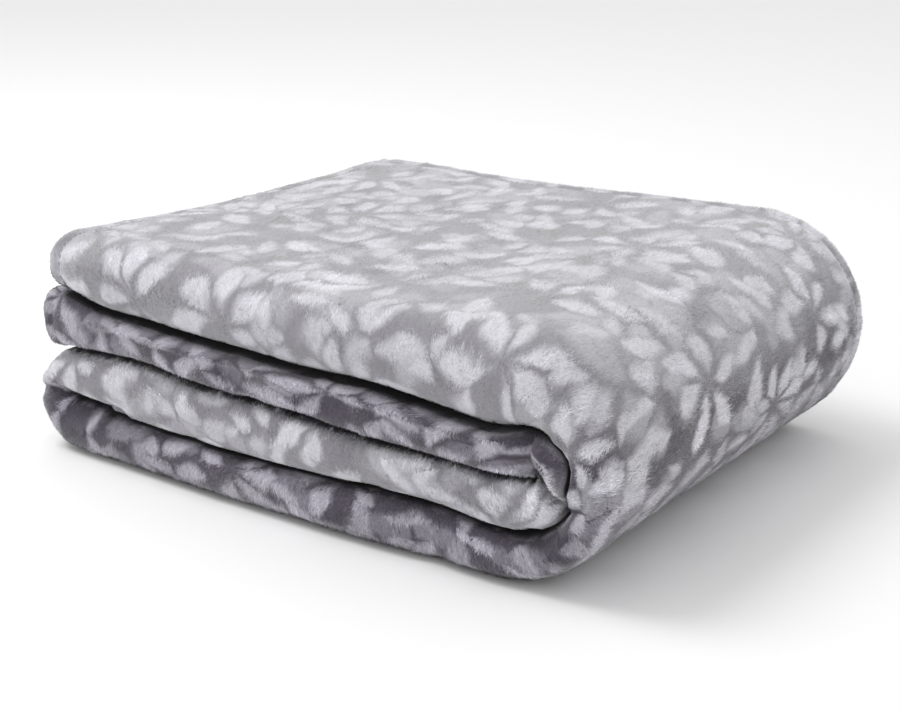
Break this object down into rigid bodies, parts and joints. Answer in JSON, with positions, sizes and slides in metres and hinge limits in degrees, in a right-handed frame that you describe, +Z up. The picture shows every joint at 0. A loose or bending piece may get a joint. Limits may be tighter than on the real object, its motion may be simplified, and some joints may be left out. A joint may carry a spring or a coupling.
{
  "type": "folded mink blanket",
  "caption": "Thick plush bed blanket with a pale petal print, folded across and along into a low soft stack with a big rounded fold at one end.",
  "frame": {"origin": "on the surface that the stack rests on, under the middle of the stack", "axes": "+X along the strip, towards the big rounded fold; +Y towards the side with the cut edges, away from the folds at the front; +Z up"},
  "size_m": [0.5136, 0.391, 0.1732],
  "materials": {
    "plush": "soft short pile with a sheen, printed pale petals on grey"
  },
  "bodies": {
    "root": {"blanket": "plush"}
  },
  "joints": []
}
